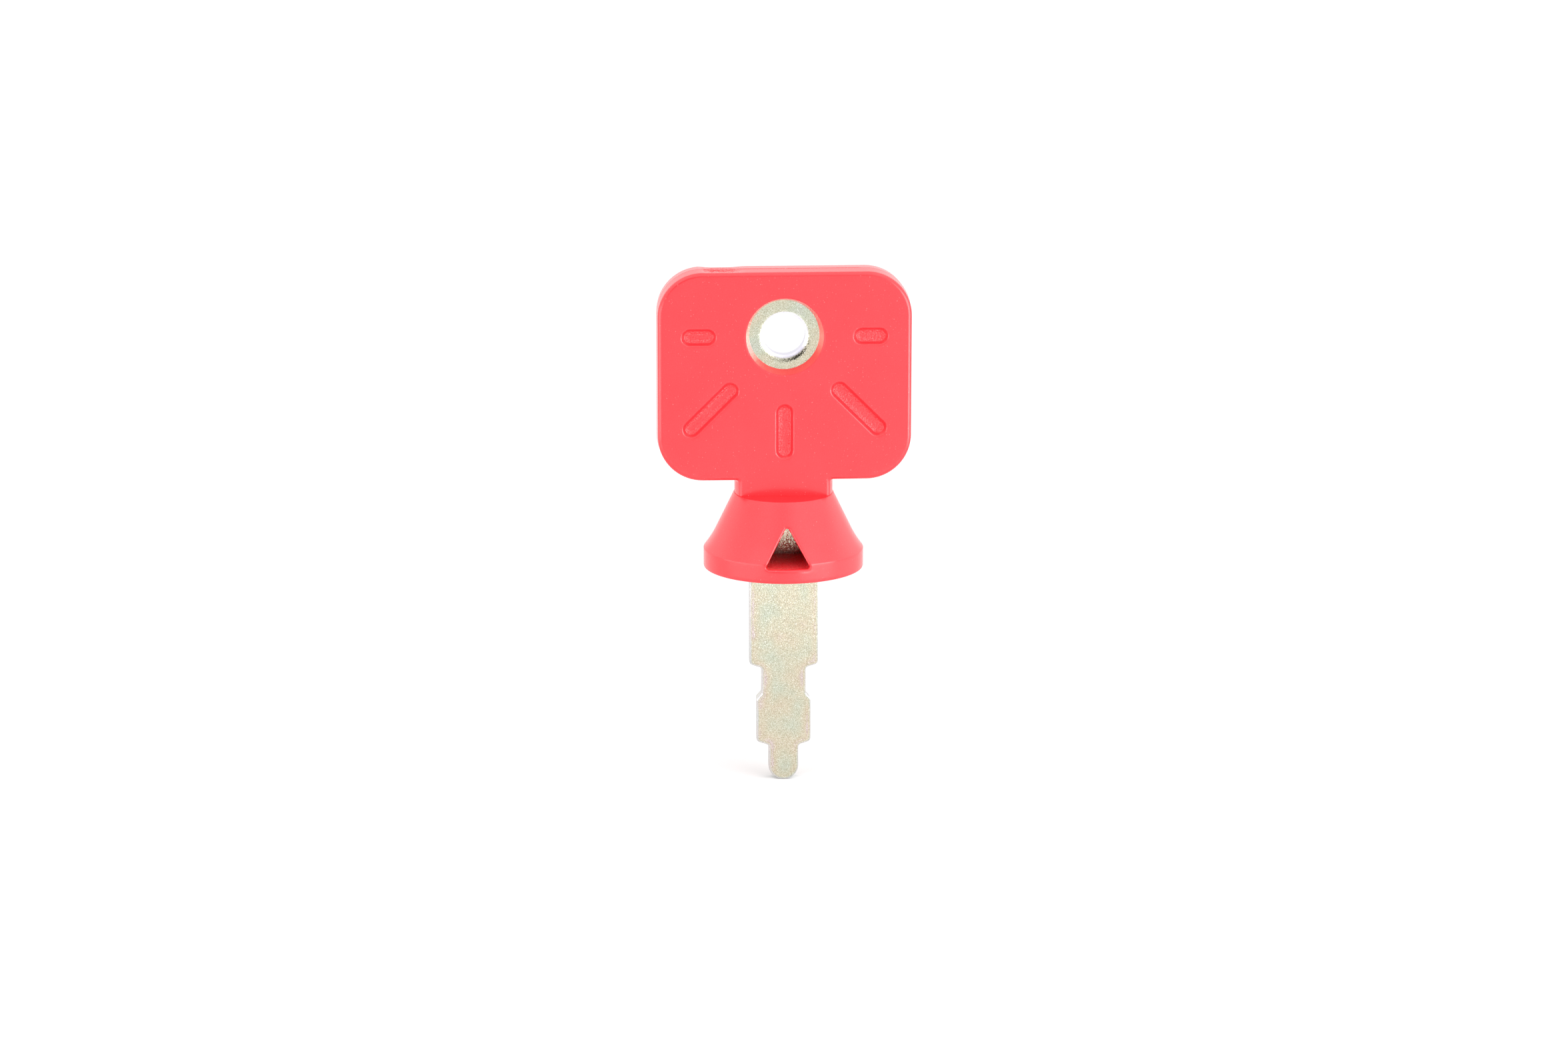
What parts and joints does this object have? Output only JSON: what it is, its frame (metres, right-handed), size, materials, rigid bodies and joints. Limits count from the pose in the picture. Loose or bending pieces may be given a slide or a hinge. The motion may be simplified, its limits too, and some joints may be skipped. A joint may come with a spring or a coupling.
{
  "type": "ignition key",
  "caption": "Flat stepped steel switch key with a moulded plastic bow, a bell-shaped collar and an eye for a key ring.",
  "frame": {"origin": "on the blade's axis, in the flat underside of the collar that seats on the switch", "axes": "+Z along the blade's axis from the tip towards the bow, +X across the width of the bow, front face of the bow towards -Y"},
  "size_m": [0.038, 0.024, 0.0786],
  "materials": {
    "zinc_plated_steel": "zinc plated and yellow passivated, fine matt grain",
    "red_plastic": "injection moulded, satin gloss"
  },
  "bodies": {
    "root": {"key_blade": "zinc_plated_steel", "key_head": "red_plastic"}
  },
  "joints": []
}
